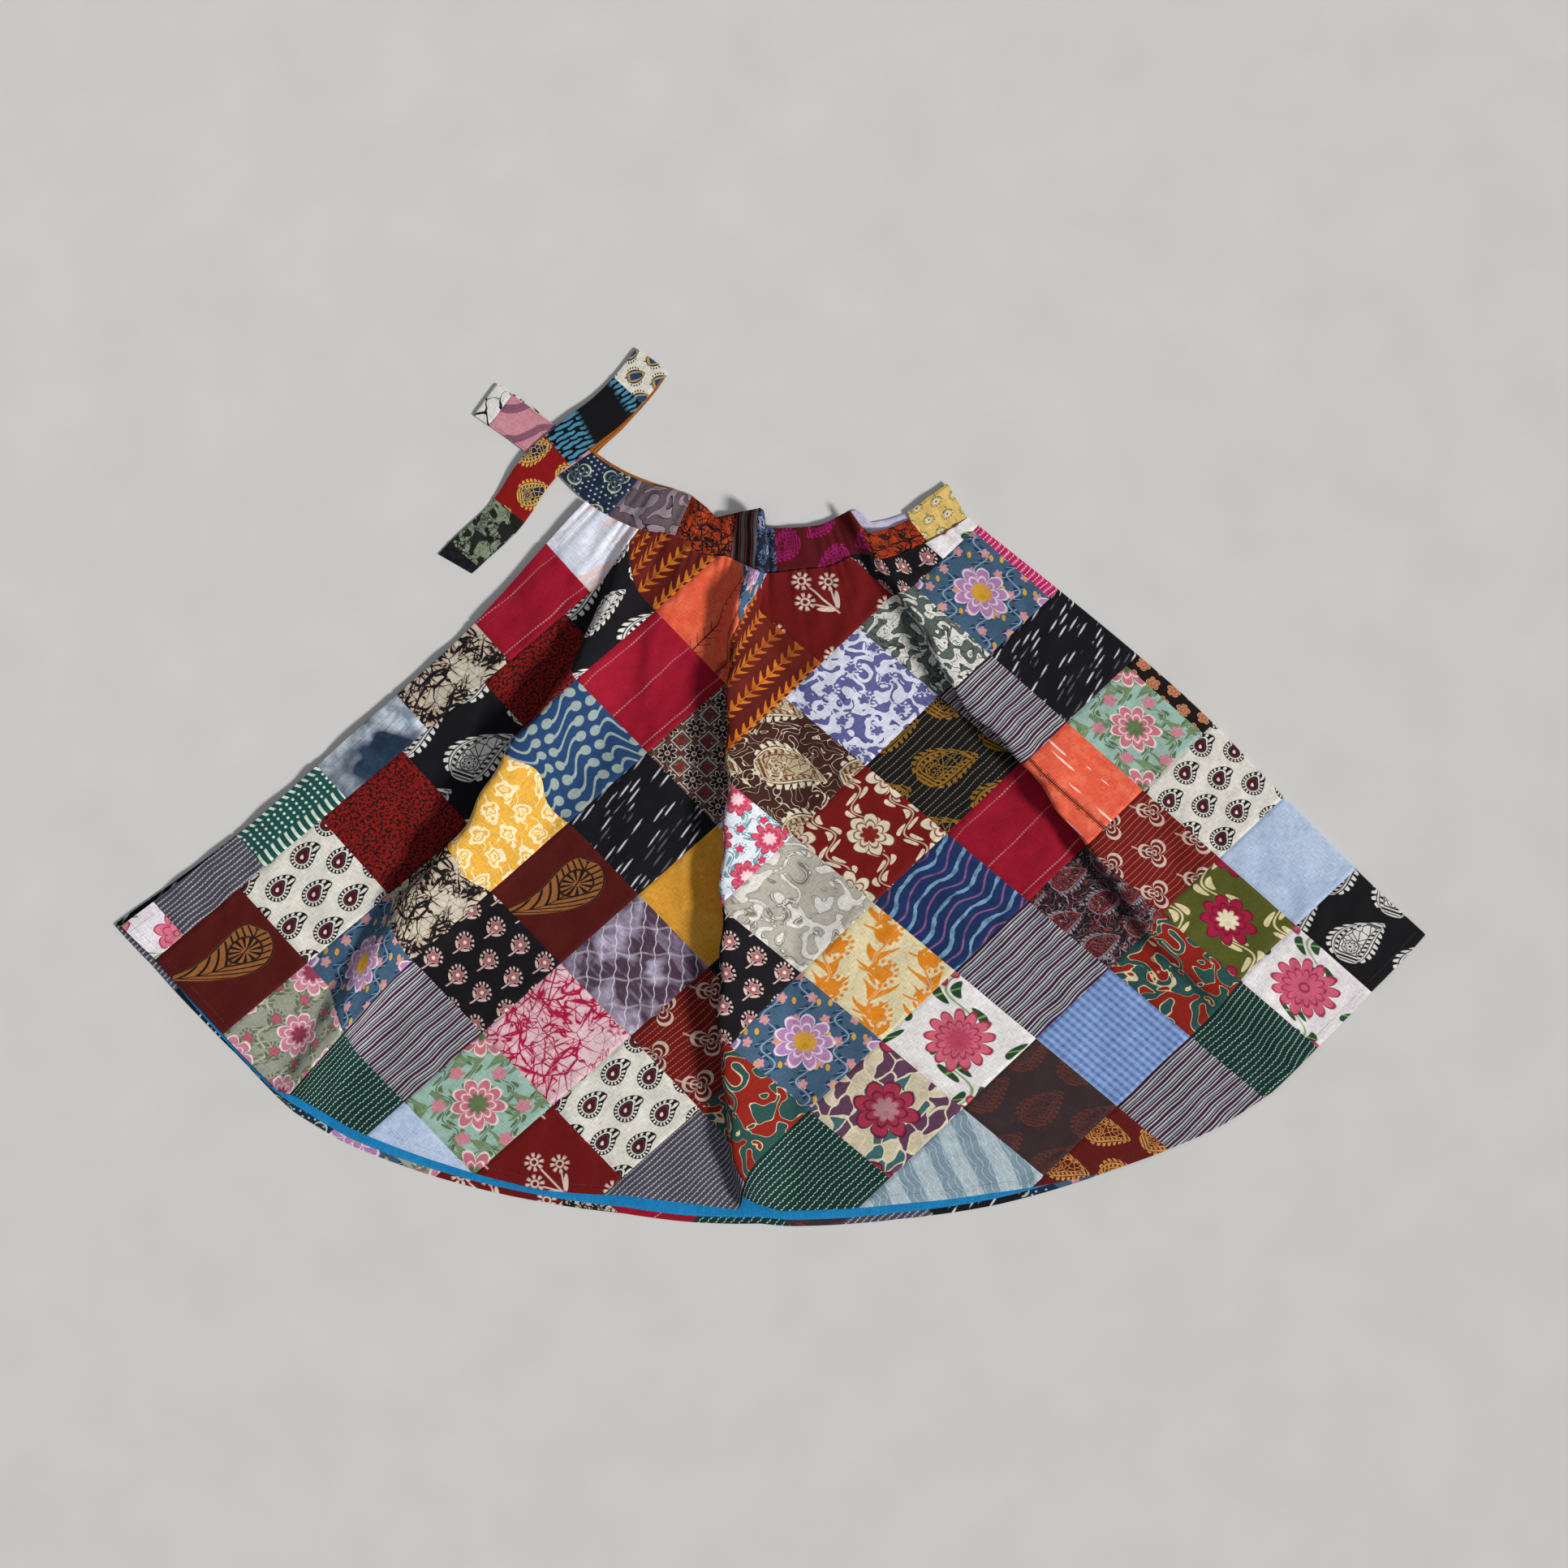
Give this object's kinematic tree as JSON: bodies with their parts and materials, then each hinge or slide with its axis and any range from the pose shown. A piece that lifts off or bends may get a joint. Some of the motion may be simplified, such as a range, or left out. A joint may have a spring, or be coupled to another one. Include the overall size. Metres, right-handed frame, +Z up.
{
  "type": "wrap skirt",
  "caption": "Patchwork cotton wrap skirt with a waistband and ties, laid flat, its hem a quarter circle and its front in leaning folds.",
  "frame": {"origin": "middle of the laid garment's bounding box, on the floor", "axes": "+X to the viewer's right across the hem, +Y from the hem to the waist, +Z up from the floor"},
  "size_m": [1.6958, 1.133, 0.0412],
  "materials": {
    "patchwork": "printed and woven cotton patches, matt",
    "lining_side": "wrong side of the patches, matt",
    "facing": "plain bright cotton, matt",
    "band": "pieced cotton band, matt",
    "band_inside": "plain pale cotton, matt",
    "tie_rose": "pieced cotton tie, matt",
    "tie_red": "pieced cotton tie, matt"
  },
  "bodies": {
    "root": {"front_panel": "patchwork", "back_panel": "lining_side", "hem_facing": "facing", "waistband_front": "band", "waistband_back": "band_inside", "tie_front": "tie_rose", "tie_back": "tie_red"}
  },
  "joints": []
}
